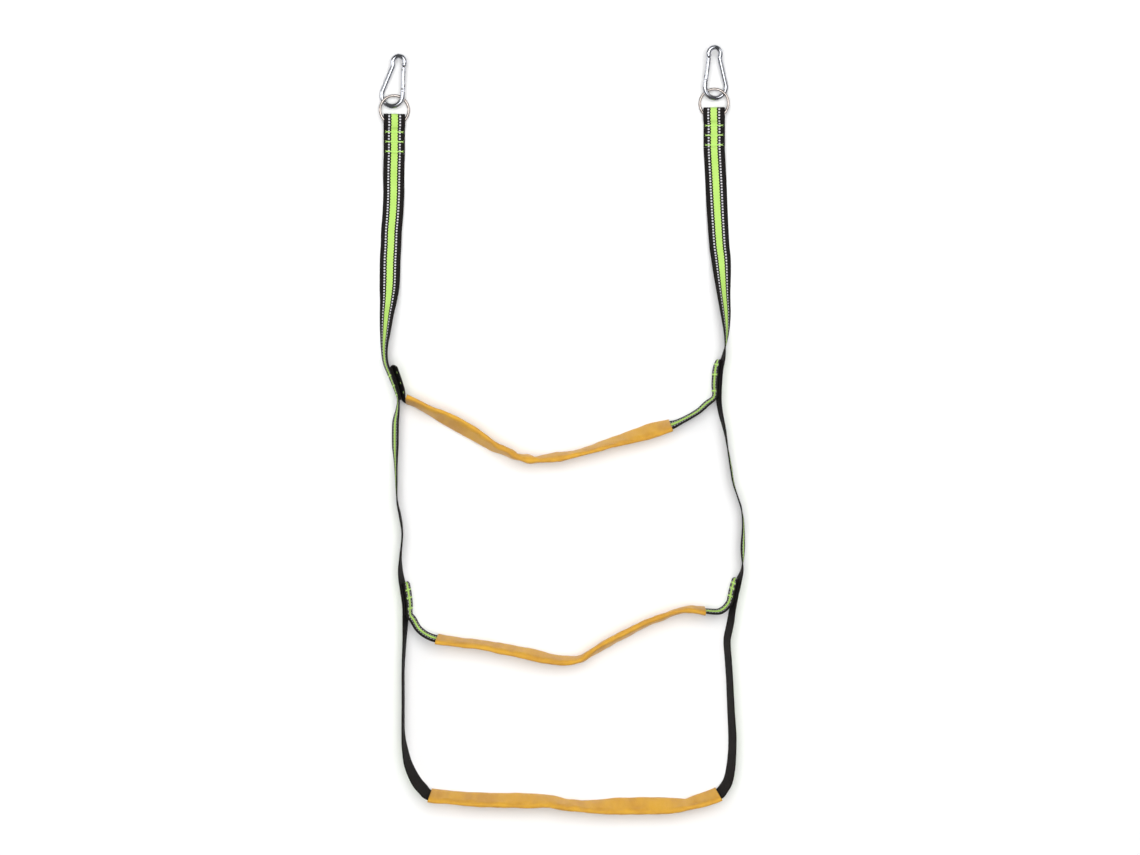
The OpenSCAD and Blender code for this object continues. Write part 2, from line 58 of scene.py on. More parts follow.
WEBBING_W = 24.5
WEBBING_T = 1.5
LAYER_GAP = 0.15
SLEEVE_W = 28
SLEEVE_T = 4.6
SLEEVE_WALL = 0.6
TACKS = 3  # Bar tacks on a seam
TACK_L = 19.5
TACK_PITCH = 11.2
LOOP_TACK_Y = -25.2  # A loop's first bar tack, from its ring's middle
LOOP_TAIL_Z = -2.4  # The middle of a loop's tail, from its ring's middle
RING_R = 16.5
RING_WIRE_R = 1.5
RING_TILT = radians(10)
WELD_ANGLE = radians(-35)
WELD_REACH = 3.2
WELD_RISE = 0.09  # The butt weld stands proud by this share of the wire's radius.
HOOK_WIRE_R = 2.75
BEND_R = 12.65
CROWN_R = 7.2
CROWN_H = 37.4
CROWN_IN = 6.05  # From the gate's axis to the middle of the crown
SPINE_LEAN = radians(22)
NECK_R = 5
NOSE_ANGLE = radians(-22)
GATE_D = 5
PIN_D = 1.8
TANG_T = 1.8
PIVOT_Y = 7
WIRE_END_Y = 3.8
SLOT_W = TANG_T + 0.5
BORE_D = 2.8
BORE_L = 11
BORE_Y = PIVOT_Y + 10  # The middle of the gate's bore
SPRING_GAP = 0.05
PLUNGER_END = PIVOT_Y + 7.8
SPRING_FOOT = PLUNGER_END + SPRING_GAP
SPRING_TOP = BORE_Y + BORE_L / 2 - SPRING_GAP
SLEEVE_LIFT = (SLEEVE_W - WEBBING_W) / 2 + 0.5

# ---- Routes of the straps, [x, y, roll, lift]: roll 0 shows the front, -90 stands on edge ----

S = SLEEVE_LIFT
LEFT_ROUTE = [(-193.1, 316, 10, 1.85), (-193.5, 306, 10, 1.3), (-193.8, 296, 8, 0.5), (-194, 284, 2, 0),
    (-194, 268, -6, 0), (-195, 246, -9, 0), (-196.5, 228, -10, 0), (-197, 212, -11, 0), (-198, 194, -10, 0),
    (-198.5, 166, -16, 0), (-199.5, 148, -33, 0), (-201.5, 130, -47, 0), (-203, 111, -58, 0),
    (-204, 93, -69, 0), (-202.5, 76, -74, 1.2), (-197, 61, -77, 1.6), (-191.5, 46, -80, 1.4),
    (-188, 33, -83, 1), (-189, 20, -77, 0.3), (-191, 9, -71, 0), (-191.5, -4, -70, 0), (-191.5, -20, -71, 0),
    (-191, -36, -78, 0), (-190.5, -54, -82, 0), (-189.5, -82, -87, 0), (-186, -100, -90, 0),
    (-183.5, -120, -88, 0), (-185.5, -146, -90, 0), (-185.5, -165, -98, 0), (-182.5, -183, -103, 0),
    (-180, -201, -102, 0), (-180, -220, -100, 0), (-181, -243, -95, 0), (-182.5, -275, -92, 0),
    (-182.5, -312, -92, 0), (-182.5, -348, -93, 0), (-180.5, -367, -100, 0), (-176.5, -385, -107, 0),
    (-168.5, -402, -112, 0), (-160, -412.5, -113, S)]
BOTTOM_ROUTE = [(-152, -419.5, -110, S), (-134, -421.5, -109, S), (-106, -424, -109, S), (-70, -425, -110, S),
    (-42, -425.5, -112, S), (-22, -426, -107, S), (-5, -428, -103, S), (4, -430, -101, S),
    (22, -432, -103, S), (42, -432.5, -110, S), (60, -432, -116, S), (88, -431.5, -118, S),
    (114, -431.5, -117, S), (132, -431, -110, S), (142, -430, -102, S), (152, -427.5, -107, S),
    (165, -423.5, -110, S)]
RIGHT_ROUTE = [(179, -418, -112, S), (185, -411, -111, S), (190, -402, -110, 0), (193, -387, -109, 0),
    (194.5, -367, -107, 0), (194.5, -348, -107, 0), (193, -321, -105, 0), (191.5, -289, -104, 0),
    (190, -266, -104, 0), (188.5, -243, -104, 0), (191, -229, -104, 0), (193, -219, -104, 0),
    (194.5, -209, -102, 0), (198, -190, -102, 0), (202, -174, -100, 0), (206, -160, -90, 0),
    (206.5, -137, -77, 0), (207, -110, -83, 0), (205, -92, -87, 0), (202, -82, -88, 0), (196, -63, -85, 0),
    (193, -45, -84, 0), (190, -27, -86, 0), (187, -8, -90, 0), (185, 2, -93, 0), (181, 19, -97, 0),
    (179, 37, -100, 0), (180, 65, -103, 0), (184.5, 83, -95, 0), (187.5, 106, -78, 0), (187, 130, -61, 0),
    (184.5, 157, -48, 0), (182, 194, -21, 0), (180, 212, -16, 0), (178, 246, -9, 0), (177, 268, -4, 0),
    (176.3, 284, 2, 0), (175.4, 300, 8, 0.5), (174.7, 312, 10, 1.3), (174.1, 323.5, 10, 1.85)]
UPPER_RUNG = [(-170, 30.5, 103, S), (-152, 21, 105, S), (-134, 12, 115, S), (-115, 2, 118, S),
    (-97, -9, 114, S), (-79, -20, 105, S), (-60, -29, 97, S), (-50, -33, 90, S), (-40, -35, 83, S),
    (-31, -35.5, 89, S), (-22, -34.5, 82, S), (-5, -32.5, 77, S), (13, -29.5, 84, S), (32, -24, 80, S),
    (50, -18, 75, S), (68, -12.5, 70, S), (87, -7, 62, S), (105, -1.5, 60, S), (124, 4, 68, S),
    (136, 9, 76, 1), (154, 19, 78, 0), (165, 28.5, 77, 0)]
MIDDLE_RUNG = [(-171, -219, 77, 0), (-165, -229, 78, 0), (-156, -236, 78, 1), (-144, -240.5, 77, S),
    (-125, -243.5, 79, S), (-106, -246, 80, S), (-88, -248.5, 81, S), (-70, -252, 78, S),
    (-51, -255.5, 77, S), (-33, -259.5, 75, S), (-14, -264, 80, S), (4, -265.5, 82, S),
    (20, -263.5, 88, S), (31, -258, 97, S), (41, -252, 102, S), (59, -242, 101, S), (78, -232, 100, S),
    (96, -223, 99, S), (114, -215.5, 97, S), (133, -208.5, 92, S), (147, -206.5, 86, S),
    (163, -208.5, 82, S), (177, -209.5, 80, 1), (184, -207, 79, 0), (189, -202, 79, 0)]
SIDE_ROUTE = LEFT_ROUTE + BOTTOM_ROUTE + RIGHT_ROUTE

# Numbers of points along the side strap: where its right side starts, and the seams, (top, bottom)
FIRST_RIGHT = len(LEFT_ROUTE) + len(BOTTOM_ROUTE)
LEFT_UPPER_SEAM = (14.6, 17)
LEFT_MIDDLE_SEAM = (28.8, 30.6)
RIGHT_MIDDLE_SEAM = (FIRST_RIGHT + 14, FIRST_RIGHT + 12.6)
RIGHT_UPPER_SEAM = (FIRST_RIGHT + 27.6, FIRST_RIGHT + 26)
TUCK_GAP = 0.5  # Air between the side strap and the tucked end of a rung
TUCKED_LAYER = WEBBING_T + TUCK_GAP
LEFT_UPPER_OPEN = 7  # From the middle of the side strap to the middle of a rung's open layer
LEFT_UPPER_LEAN = 7  # Degrees that this open layer leans away, so that its back shows beside the strap
OTHER_OPEN = 4.8
TURN_STEPS = 17  # Rings of points round the turned-over end of a rung

RING_LIFT = 3.3  # Keeps the loop's tail, which reaches 3.15 below the ring's middle, off the floor
LEFT_RING = Vector((-193, 366, RING_LIFT + WEBBING_W / 2 * tan(RING_TILT)))
RIGHT_RING = Vector((174, 373.5, LEFT_RING.z))
# Each hook's wide bend from its ring's centre, its turns in degrees about X, Y and Z, and its height
HOOKS = {"left": ((-2.4, 17.1), (3, -15, -2.7), 6.2), "right": ((-1.5, 18.7), (7, -16, 5.8), 6.65)}

STEPS = 8  # Rings of points between two points of a route


def spline(a, b, c, d, t):
    """A point between b and c, at share t of the way, on a smooth curve through all four."""
    return [0.5 * (2 * q + (r - p) * t + (2 * p - 5 * q + 4 * r - s) * t * t
        + (3 * q - p - 3 * r + s) * t ** 3) for p, q, r, s in zip(a, b, c, d)]


def smooth(points):
    last = len(points) - 1
    made = [spline(points[max(i - 1, 0)], points[i], points[i + 1], points[min(i + 2, last)], k / STEPS)
        for i in range(last) for k in range(STEPS)]
    return made + [list(points[last])]


def standing(route):
    """Points [x, y, z, roll], with each strap resting on the floor or its own lift above it."""
    return [(x, y, lift + WEBBING_W / 2 * abs(sin(radians(roll))) + WEBBING_T / 2 * abs(cos(radians(roll))),
        roll) for x, y, roll, lift in route]


def frames_of(points):
    """Frames (place, along, across, front) at each point."""
    made = []
    for i, p in enumerate(points):
        ahead = Vector(points[min(i + 1, len(points) - 1)][:3])
        behind = Vector(points[max(i - 1, 0)][:3])
        along = (ahead - behind).normalized()
        side = UP.cross(along).normalized()
        up = along.cross(side)
        turn = radians(p[3])
        across, front = side * cos(turn) - up * sin(turn), side * sin(turn) + up * cos(turn)
        made.append((Vector(p[:3]), along, across, front))
    return made


side_frames = frames_of(smooth(standing(SIDE_ROUTE)))


def side_at(i):
    return side_frames[round(i * STEPS)]


def beside(i, away, lean=0):
    """A point of a layer that lies on the back of the side strap, that far from it."""
    place, along, across, front = side_at(i)
    p = place - front * away
    roll = 180 + lean + degrees(atan2(front.dot(UP.cross(along).normalized()), front.z))
    return (p.x, p.y, p.z, roll)


def open_layer(seam, away, lean):
    """The open layer of a sewn rung end, from the seam's top to its bottom."""
    return [beside(seam[0] + (seam[1] - seam[0]) * k / 3, away, lean) for k in range(4)]


def tucked(seam):
    """The tucked layer's frames, which follow the side strap from the seam's top to its bottom."""
    top, bottom = round(seam[0] * STEPS), round(seam[1] * STEPS)
    step = 1 if bottom > top else -1
    return [(place - front * TUCKED_LAYER, -along, -across, front)
        for place, along, across, front in side_frames[top:bottom + step:step]]


def turned(seam, away, lean):
    """The end that is turned over from the tucked layer to the open one."""
    top, bottom = side_at(seam[0]), side_at(seam[1])
    radius = (away - TUCKED_LAYER) / 2
    middle = top[0] - top[3] * (away + TUCKED_LAYER) / 2
    out = (top[0] - bottom[0]).normalized()
    open_roll = beside(seam[0], away, lean)[3]
    tucked_roll = 180 + lean - open_roll
    made = []
    for k in range(1, TURN_STEPS):
        angle = k * pi / TURN_STEPS
        p = middle + top[3] * radius * cos(angle) + out * radius * sin(angle)
        made.append((p.x, p.y, p.z, tucked_roll + (open_roll - tucked_roll) * k / TURN_STEPS))
    return made


def rung_frames(left_seam, right_seam, left_away, right_away, free, left_lean=0):
    """The rung's frames, and the number of the frame where its free part starts."""
    left, right = tucked(left_seam)[::-1], tucked(right_seam)
    middle = smooth(open_layer(left_seam, left_away, left_lean) + standing(free)
        + open_layer(right_seam, right_away, 0)[::-1])
    between = turned(left_seam, left_away, left_lean) + middle + turned(right_seam, right_away, 0)[::-1]
    return left + frames_of(between) + right, len(left) + TURN_STEPS - 1 + 4 * STEPS


upper_frames, upper_first = rung_frames(LEFT_UPPER_SEAM, RIGHT_UPPER_SEAM, LEFT_UPPER_OPEN, OTHER_OPEN,
    UPPER_RUNG, LEFT_UPPER_LEAN)
middle_frames, middle_first = rung_frames(LEFT_MIDDLE_SEAM, RIGHT_MIDDLE_SEAM, OTHER_OPEN, OTHER_OPEN,
    MIDDLE_RUNG)

# ---- Small helpers ----


def linear(colour):
    """An sRGB hex colour as linear values."""
    parts = [int(colour[i:i + 2], 16) / 255 for i in (1, 3, 5)]
    return (*[c / 12.92 if c <= 0.04045 else ((c + 0.055) / 1.055) ** 2.4 for c in parts], 1)


def add(tree, kind, inputs=None, **settings):
    """Adds a node with its settings; an input is a value or the output that feeds it."""
    made = tree.nodes.new(kind)
    for name, value in settings.items():
        setattr(made, name, value)
    for name, value in (inputs or {}).items():
        if isinstance(value, bpy.types.NodeSocket):
            tree.links.new(value, made.inputs[name])
        else:
            made.inputs[name].default_value = value
    return made


def new_material(name, **constants):
    """A material with its shader, whose constant values are set on the shader itself."""
    made = bpy.data.materials.new(name)
    made.use_nodes = True
    shader = made.node_tree.nodes["Principled BSDF"]
    for socket, value in constants.items():
        shader.inputs[socket.replace("_", " ")].default_value = value
    return made, made.node_tree, shader


def deselect():
    if bpy.context.mode != "OBJECT":
        bpy.ops.object.mode_set(mode="OBJECT")
    bpy.ops.object.select_all(action="DESELECT")


def mesh_piece(name, points, faces, corners=None):
    """A piece from points in millimetres, and pattern places in metres for each face's corners."""
    mesh = bpy.data.meshes.new(name)
    mesh.from_pydata([Vector(p) * MM for p in points], [], faces)
    if corners:
        layer = mesh.uv_layers.new(name="Pattern")
        for loop, place in zip(layer.data, corners):
            loop.uv = (place[0] * MM, place[1] * MM)
    mesh.validate()
    mesh.shade_smooth()
    piece = bpy.data.objects.new(name, mesh)
    bpy.context.scene.collection.objects.link(piece)
    return piece


def active(name):
    """The piece just added, under its own name."""
    piece = bpy.context.active_object
    piece.name = name
    piece.data.name = name
    return piece


def settle(piece, place=None):
    """Puts a piece's place into its mesh, in metres, and leaves its object at the origin."""
    piece.data.transform((place or Matrix.Identity(4)) @ piece.matrix_basis)
    piece.matrix_basis = Matrix.Identity(4)
    return piece


def joined(pieces, name):
    deselect()
    for piece in pieces:
        piece.select_set(True)
    bpy.context.view_layer.objects.active = pieces[0]
    bpy.ops.object.join()
    return active(name)


def paint(piece, material):
    piece.data.materials.clear()
    piece.data.materials.append(material)
    return piece


# ---- Camera, floor and lights ----

VIEW_W = 1.311  # Width of floor that the picture takes in, in metres
LENS = 85
SENSOR = 36
camera = bpy.data.objects.new("camera", bpy.data.cameras.new("camera"))
bpy.context.scene.collection.objects.link(camera)
camera.data.lens = LENS
camera.data.sensor_width = SENSOR
camera.location = (0.0086, 0.0015, VIEW_W * LENS / SENSOR)
bpy.context.scene.camera = camera


def softbox(name, place, size, power):
    light = bpy.data.objects.new(name, bpy.data.lights.new(name, "AREA"))
    light.data.shape = "RECTANGLE"
    light.data.size, light.data.size_y = size
    light.data.energy = power
    light.location = place
    light.rotation_euler = (Vector((0, 0, 0)) - Vector(place)).to_track_quat("-Z", "Y").to_euler()
    bpy.context.scene.collection.objects.link(light)


softbox("overhead_softbox", (0.1, 0.3, 3.4), (3.2, 4.0), 158)
softbox("left_softbox", (-3.0, 0.6, 1.6), (0.9, 1.8), 16)
softbox("right_softbox", (3.0, 0.9, 1.6), (0.9, 1.8), 10)

world = bpy.data.worlds.new("studio")
world.use_nodes = True
bpy.context.scene.world = world
world.node_tree.nodes["Background"].inputs["Color"].default_value = linear("#FFFFFF")
world.node_tree.nodes["Background"].inputs["Strength"].default_value = 0.14
bpy.context.scene.view_settings.view_transform = "Standard"

deselect()
bpy.ops.mesh.primitive_plane_add(size=12)
floor_piece = settle(active("floor"))
floor_paint, _, _ = new_material("white floor", Base_Color=linear("#F4F4F4"), Roughness=0.9)
paint(floor_piece, floor_paint)

# ---- Materials ----


def woven_webbing():
    """Polyester webbing: matt black ribs, a bright green stripe with saw-toothed edges, and two rows of
    reflective dashes. Weft pitch is 1.1 mm and the stripe's teeth are 3.3 mm apart."""
    material, tree, shader = new_material("woven polyester webbing", Roughness=0.85, Specular_IOR_Level=0.15)
    tooth, stripe_half = 0.0033, 0.00325
    dash_at, dash_half_w, dash_half_l = 0.0063, 0.001, 0.00095
    weft, warp = 0.0011, 0.0009
    pattern = add(tree, "ShaderNodeUVMap", uv_map="Pattern").outputs[0]
    place = add(tree, "ShaderNodeSeparateXYZ", {0: pattern}).outputs
    from_middle = add(tree, "ShaderNodeMath", {0: place[0]}, operation="ABSOLUTE").outputs[0]
    wave = add(tree, "ShaderNodeMath", {0: place[1], 1: tooth / 2}, operation="PINGPONG").outputs[0]
    edge = add(tree, "ShaderNodeMath", {0: wave, 1: 0.5, 2: stripe_half}, operation="MULTIPLY_ADD").outputs[0]
    past = add(tree, "ShaderNodeMath", {0: edge, 1: from_middle}, operation="SUBTRACT").outputs[0]
    stripe = add(tree, "ShaderNodeMapRange",
        {"Value": past, "From Min": -0.0001, "From Max": 0.0001}).outputs[0]
    # A dash is a square with round corners.
    across = add(tree, "ShaderNodeMath", {0: from_middle, 1: dash_at}, operation="SUBTRACT").outputs[0]
    across = add(tree, "ShaderNodeMath", {0: across, 1: dash_half_w}, operation="DIVIDE").outputs[0]
    across = add(tree, "ShaderNodeMath", {0: across, 1: 4.0}, operation="POWER").outputs[0]
    along = add(tree, "ShaderNodeMath", {0: wave, 1: dash_half_l}, operation="DIVIDE").outputs[0]
    along = add(tree, "ShaderNodeMath", {0: along, 1: 4.0}, operation="POWER").outputs[0]
    far = add(tree, "ShaderNodeMath", {0: across, 1: along}, operation="ADD").outputs[0]
    dash = add(tree, "ShaderNodeMapRange", {"Value": far, "From Min": 1.25, "From Max": 0.75}).outputs[0]
    # Ribs of the weave
    ribs = add(tree, "ShaderNodeMath", {0: place[1], 1: 2 * pi / weft}, operation="MULTIPLY").outputs[0]
    ends = add(tree, "ShaderNodeMath", {0: place[0], 1: 1 / warp}, operation="MULTIPLY").outputs[0]
    lane = add(tree, "ShaderNodeMath", {0: ends}, operation="FLOOR").outputs[0]
    ribs = add(tree, "ShaderNodeMath", {0: lane, 1: pi, 2: ribs}, operation="MULTIPLY_ADD").outputs[0]
    ribs = add(tree, "ShaderNodeMath", {0: ribs}, operation="SINE").outputs[0]
    crown = add(tree, "ShaderNodeMath", {0: ends, 1: 0.5}, operation="PINGPONG").outputs[0]
    weave = add(tree, "ShaderNodeMath", {0: ribs, 1: 0.3, 2: crown}, operation="MULTIPLY_ADD").outputs[0]
    bump = add(tree, "ShaderNodeBump", {"Strength": 0.6, "Distance": 0.0003, "Height": weave})
    tree.links.new(bump.outputs[0], shader.inputs["Normal"])
    # Faded patches, and a painted highlight that makes the crowns of the threads lighter
    body = add(tree, "ShaderNodeTexCoord").outputs["Object"]
    patches = add(tree, "ShaderNodeTexNoise", {"Vector": body, "Scale": 60.0, "Detail": 3.0}).outputs["Fac"]
    black = add(tree, "ShaderNodeMix", {"Factor": patches, "A": linear("#0F0C0B"), "B": linear("#1A1716")},
        data_type="RGBA")
    crown_highlight = add(tree, "ShaderNodeMapRange", {"Value": weave, "From Min": -0.2, "From Max": 0.8,
        "To Min": 0.0, "To Max": 0.12}).outputs[0]
    # Painted highlight: the crowns of the threads are mixed towards a lighter grey.
    black = add(tree, "ShaderNodeMix", {"Factor": crown_highlight, "A": black.outputs["Result"], "B": linear("#4A4544")},
        data_type="RGBA")
    green = add(tree, "ShaderNodeMix", {"Factor": patches, "A": linear("#B2DC66"), "B": linear("#C4EB80")},
        data_type="RGBA")
    with_dash = add(tree, "ShaderNodeMix", {"Factor": dash, "A": black.outputs["Result"],
        "B": linear("#D2D1D6")}, data_type="RGBA")
    whole = add(tree, "ShaderNodeMix", {"Factor": stripe, "A": with_dash.outputs["Result"],
        "B": green.outputs["Result"]}, data_type="RGBA")
    tree.links.new(whole.outputs["Result"], shader.inputs["Base Color"])
    return material


def sewing_thread():
    """Bonded polyester thread, bright green, with the twist of its plies 0.5 mm apart, and painted shade and
    highlight that make the plies darker and lighter in turn.
    """
    material, tree, shader = new_material("bonded polyester thread", Roughness=0.5, Sheen_Weight=0.2)
    body = add(tree, "ShaderNodeTexCoord").outputs["Object"]
    plies = add(tree, "ShaderNodeTexWave", {"Vector": body, "Scale": 300.0, "Distortion": 1.0},
        bands_direction="DIAGONAL")
    # Painted shade and highlight: the plies are mixed between a darker and a lighter green along their twist.
    colour = add(tree, "ShaderNodeMix", {"Factor": plies.outputs["Fac"], "A": linear("#AEDD62"),
        "B": linear("#D2F88E")}, data_type="RGBA")
    tree.links.new(colour.outputs["Result"], shader.inputs["Base Color"])
    bump = add(tree, "ShaderNodeBump", {"Strength": 0.4, "Distance": 0.0001, "Height": plies.outputs["Fac"]})
    tree.links.new(bump.outputs[0], shader.inputs["Normal"])
    return material


def sleeve_cloth():
    """Amber tubular cloth, plain woven from coarse shiny yarn 0.9 mm apart, with a painted highlight where
    the yarn lies proud.
    """
    material, tree, shader = new_material("woven amber sleeve", Roughness=0.55, Specular_IOR_Level=0.45,
        Sheen_Weight=0.1, Sheen_Roughness=0.4)
    pattern = add(tree, "ShaderNodeUVMap", uv_map="Pattern").outputs[0]
    place = add(tree, "ShaderNodeSeparateXYZ", {0: pattern}).outputs
    yarn = 0.0009
    warp = add(tree, "ShaderNodeMath", {0: place[0], 1: 2 * pi / yarn}, operation="MULTIPLY").outputs[0]
    warp = add(tree, "ShaderNodeMath", {0: warp}, operation="SINE").outputs[0]
    weft = add(tree, "ShaderNodeMath", {0: place[1], 1: 2 * pi / yarn}, operation="MULTIPLY").outputs[0]
    weft = add(tree, "ShaderNodeMath", {0: weft}, operation="SINE").outputs[0]
    weave = add(tree, "ShaderNodeMath", {0: warp, 1: weft}, operation="MULTIPLY").outputs[0]
    slubs = add(tree, "ShaderNodeTexNoise", {"Vector": pattern, "Scale": 260.0, "Detail": 4.0}).outputs["Fac"]
    height = add(tree, "ShaderNodeMath", {0: weave, 1: 0.4, 2: slubs}, operation="MULTIPLY_ADD").outputs[0]
    bump = add(tree, "ShaderNodeBump", {"Strength": 0.5, "Distance": 0.00035, "Height": height})
    tree.links.new(bump.outputs[0], shader.inputs["Normal"])
    clouds = add(tree, "ShaderNodeTexNoise", {"Vector": pattern, "Scale": 55.0, "Detail": 2.0}).outputs["Fac"]
    clouds = add(tree, "ShaderNodeMapRange", {"Value": clouds, "From Min": 0.35, "From Max": 0.65}).outputs[0]
    base = add(tree, "ShaderNodeMix", {"Factor": clouds, "A": linear("#C98E1B"), "B": linear("#DDA520")},
        data_type="RGBA")
    # Painted highlight: where the weave and slubs lie proud, the cloth is mixed towards a lighter amber.
    proud_highlight = add(tree, "ShaderNodeMapRange", {"Value": height, "From Min": 0.2, "From Max": 0.9,
        "To Max": 0.35}).outputs[0]
    whole = add(tree, "ShaderNodeMix", {"Factor": proud_highlight, "A": base.outputs["Result"], "B": linear("#E9B650")},
        data_type="RGBA")
    tree.links.new(whole.outputs["Result"], shader.inputs["Base Color"])
    return material


def plated_metal(name, colour, worn, roughness, grain):
    """Plated steel: a metal colour with slight handling marks, smooth where it is bright."""
    material, tree, shader = new_material(name, Metallic=1.0)
    body = add(tree, "ShaderNodeTexCoord").outputs["Object"]
    marks = add(tree, "ShaderNodeTexNoise", {"Vector": body, "Scale": grain, "Detail": 5.0}).outputs["Fac"]
    dull = add(tree, "ShaderNodeMapRange", {"Value": marks, "From Min": 0.4, "From Max": 0.8,
        "To Min": roughness, "To Max": roughness * 2.2}).outputs[0]
    tree.links.new(dull, shader.inputs["Roughness"])
    tone = add(tree, "ShaderNodeMapRange", {"Value": marks, "From Min": 0.45, "From Max": 0.75}).outputs[0]
    whole = add(tree, "ShaderNodeMix", {"Factor": tone, "A": linear(colour), "B": linear(worn)},
        data_type="RGBA")
    tree.links.new(whole.outputs["Result"], shader.inputs["Base Color"])
    bump = add(tree, "ShaderNodeBump", {"Strength": 0.08, "Distance": 0.0002, "Height": marks})
    tree.links.new(bump.outputs[0], shader.inputs["Normal"])
    return material


webbing = woven_webbing()
thread = sewing_thread()
sleeve_fabric = sleeve_cloth()
chrome = plated_metal("chrome plated wire", "#B4B6BC", "#9C9EA5", 0.09, 260.0)
nickel = plated_metal("nickel plated ring", "#A9A19C", "#8B827D", 0.16, 320.0)
pin_steel = plated_metal("turned steel pin", "#C4C4C6", "#A4A4A8", 0.22, 400.0)
spring_steel = plated_metal("drawn spring wire", "#A9A9AC", "#86868A", 0.28, 500.0)

# ---- Webbing ----

FRONT_POINTS = 13
BACK_AT = 40  # The back's pattern places lie this far from the front's, where nothing is printed.


def webbing_section():
    """Outline of the webbing, [across, out, pattern place]: a flat front, round selvedges and a flat back."""
    half, edge = WEBBING_W / 2, WEBBING_T / 2
    flat = half - edge
    front = [(-flat + 2 * flat * k / (FRONT_POINTS - 1), edge) for k in range(FRONT_POINTS)]
    right = [(flat + edge * sin(a), edge * cos(a)) for a in (pi / 4, pi / 2, 3 * pi / 4)]
    back = [(-x, -y) for x, y in front]
    left = [(-x, -y) for x, y in right]
    return front + right + back + left


def strap(name, frames, start=0.0):
    """A length of webbing along the frames, whose pattern starts at that many millimetres."""
    section = webbing_section()
    n = len(section)
    points = []
    travelled = [start]
    for i, (place, along, across, front) in enumerate(frames):
        if i:
            travelled.append(travelled[-1] + (place - frames[i - 1][0]).length)
        points += [place + across * x + front * y for x, y in section]
    faces, corners = [], []
    back_first = FRONT_POINTS + 1
    for i in range(len(frames) - 1):
        for j in range(n):
            k = (j + 1) % n
            faces.append((i * n + j, i * n + k, (i + 1) * n + k, (i + 1) * n + j))
            shift = BACK_AT if back_first <= j < n - 1 else 0
            for a, b in ((j, 0), (k, 0), (k, 1), (j, 1)):
                corners.append((section[a][0] + shift, travelled[i + b]))
    last = (len(frames) - 1) * n
    faces.append(tuple(range(n - 1, -1, -1)))
    faces.append(tuple(last + j for j in range(n)))
    corners += [(BACK_AT, start)] * n + [(BACK_AT, travelled[-1])] * n
    piece = mesh_piece(name, points, faces, corners)
    paint(piece, webbing)
    return piece, travelled[-1]


def loop_frames(ring_at, side):
    """Frames from the tail under the ring, up and round it, and down to the strap's start."""
    lane = RING_WIRE_R + 0.3 + WEBBING_T / 2
    low = LOOP_TAIL_Z
    high = low + WEBBING_T + LAYER_GAP
    top = -4.4 - lane - WEBBING_T / 2
    line = [(-49, low), (-42, low), (-34, low), (-28, low), (-24.5, low), (-22, -2.45),
        (-19, -lane), (-14, -lane)]
    line += [(top + lane * sin(radians(a)), -lane * cos(radians(a))) for a in range(0, 181, 20)]
    line += [(-14, lane), (-18.6, lane - 0.3), (-20.6, 0.9), (-22.6, -0.5), (-25, high), (-30, high),
        (-40, high), (-50, high)]
    line = smooth([(y, z) for y, z in line])
    turn = Matrix.Rotation(RING_TILT * side, 3, "Y")
    across = turn @ Vector((1, 0, 0))
    made = []
    for i, (y, z) in enumerate(line):
        ahead, behind = line[min(i + 1, len(line) - 1)], line[max(i - 1, 0)]
        along = (turn @ Vector((0, ahead[0] - behind[0], ahead[1] - behind[1]))).normalized()
        made.append((ring_at + turn @ Vector((0, y, z)), along, across, along.cross(across)))
    return made


def turned_back(frames):
    """The same frames in the other direction, with the same face outward."""
    return [(place, -along, -across, front) for place, along, across, front in frames[::-1]]


left_loop, at = strap("left_ring_loop", loop_frames(LEFT_RING, 1))
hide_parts("left_strap_loop")
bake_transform(left_loop)


def cut(a, b):
    """The side strap's frames between two points of its route."""
    return side_frames[round(a * STEPS):round(b * STEPS) + 1]


# The strap changes pieces behind its bar tacks, where a seam hides the join.
LEFT_UPPER_CUT, LEFT_LOWER_CUT = 15.75, 29.5
RIGHT_LOWER_CUT, RIGHT_UPPER_CUT = FIRST_RIGHT + 13.5, FIRST_RIGHT + 27

left_upper, at = strap("left_upper_webbing", cut(0, LEFT_UPPER_CUT), at)
left_middle, at = strap("left_middle_webbing", cut(LEFT_UPPER_CUT, LEFT_LOWER_CUT), at)
bottom, at = strap("bottom_webbing", cut(LEFT_LOWER_CUT, RIGHT_LOWER_CUT), at)
right_middle, at = strap("right_middle_webbing", cut(RIGHT_LOWER_CUT, RIGHT_UPPER_CUT), at)
right_upper, at = strap("right_upper_webbing", cut(RIGHT_UPPER_CUT, len(SIDE_ROUTE) - 1), at)
right_loop, at = strap("right_ring_loop", turned_back(loop_frames(RIGHT_RING, -1)), at)
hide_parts("right_strap_loop")
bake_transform(right_loop)
upper_rung, _ = strap("upper_rung_webbing", upper_frames)
middle_rung, _ = strap("middle_rung_webbing", middle_frames)

for piece, node in ((left_upper, "left_upper_strap"), (right_upper, "right_upper_strap")):
    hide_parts(node)
    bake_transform(piece)
for piece, node in ((left_middle, "left_middle_strap"), (right_middle, "right_middle_strap")):
    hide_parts(node)
    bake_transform(piece)
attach(bottom, "lower_section")
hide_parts("bottom_rung_strap", "left_lower_strap", "right_lower_strap")
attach(upper_rung, "middle_section")
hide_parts("upper_rung_strap")
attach(middle_rung, "lower_section")
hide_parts("middle_rung_strap")

# ---- Sleeves ----

SLEEVE_POINTS = 44
MOUTH_FLARE = 0.35  # A sleeve's mouths stand open by this share of its thickness.
MOUTH_REACH = 8  # How far in a mouth's flare fades
CALM_REACH = 12  # How far in the ripples come to their full height
GATHER_DEPTH = 1
MOUTH_OFF_SEAM = 9  # The upper sleeve reaches this far past the free part of its rung.


